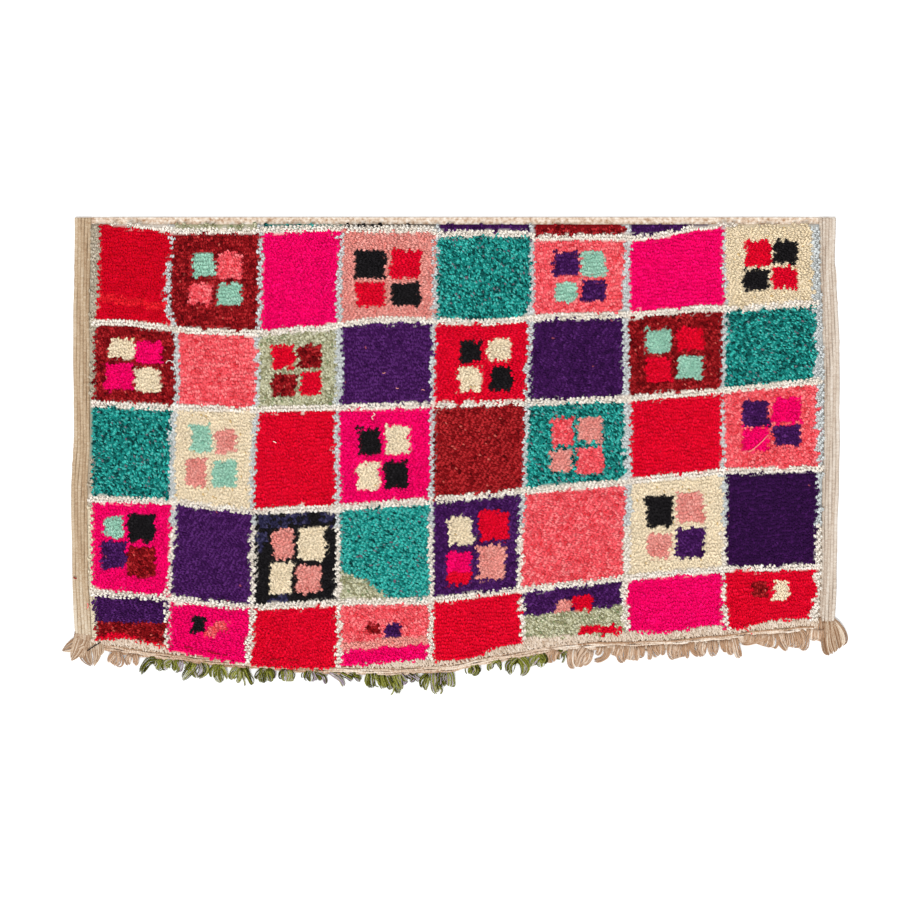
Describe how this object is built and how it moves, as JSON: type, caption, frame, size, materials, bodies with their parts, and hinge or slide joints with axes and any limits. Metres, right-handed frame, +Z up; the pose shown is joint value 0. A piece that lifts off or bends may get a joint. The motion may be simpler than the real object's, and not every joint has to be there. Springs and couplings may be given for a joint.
{
  "type": "azilal rug",
  "caption": "Hand-knotted wool rug lying flat, with a checker of coloured blocks, ribbed selvedges, a twined end cord, short yarn tufts and corner tassels.",
  "frame": {"origin": "on the flat underside, at the middle of the rug's length and width", "axes": "+X across the woven width, towards the right selvedge; +Y towards the plain far end, away from the tufts; +Z up out of the pile"},
  "size_m": [1.5397, 0.9462, 0.0172],
  "materials": {
    "pile_red": "matt knotted wool",
    "pile_maroon": "matt knotted wool",
    "pile_pink": "matt knotted wool",
    "pile_coral": "matt knotted wool",
    "pile_rose": "matt knotted wool",
    "pile_teal": "matt heathered wool",
    "pile_mint": "matt knotted wool",
    "pile_sage": "matt heathered wool",
    "pile_purple": "matt knotted wool",
    "pile_black": "matt knotted wool",
    "pile_navy": "matt knotted wool",
    "pile_cream": "matt knotted wool",
    "pile_ivory": "matt knotted wool",
    "pile_grey_blue": "matt knotted wool",
    "undyed_wool": "matt undyed wool, plain weave, cord and tufts",
    "green_yarn": "matt spun yarn",
    "lilac_yarn": "matt spun yarn"
  },
  "bodies": {
    "root": {"rug": "pile_red", "end_cord": "undyed_wool", "corner_tassel_left": "undyed_wool", "corner_tassel_right": "undyed_wool", "green_tuft_01": "green_yarn", "green_tuft_02": "green_yarn", "green_tuft_03": "green_yarn", "green_tuft_04": "green_yarn", "green_tuft_05": "green_yarn", "green_tuft_06": "green_yarn", "green_tuft_07": "green_yarn", "green_tuft_08": "green_yarn", "green_tuft_09": "green_yarn", "green_tuft_10": "green_yarn", "green_tuft_11": "green_yarn", "green_tuft_12": "green_yarn", "green_tuft_13": "green_yarn", "green_tuft_14": "green_yarn", "green_tuft_15": "green_yarn", "green_tuft_16": "green_yarn", "green_tuft_17": "green_yarn", "green_tuft_18": "green_yarn", "green_tuft_19": "green_yarn", "green_tuft_20": "green_yarn", "green_tuft_21": "green_yarn", "green_tuft_22": "green_yarn", "green_tuft_23": "green_yarn", "green_tuft_24": "green_yarn"}
  },
  "joints": []
}
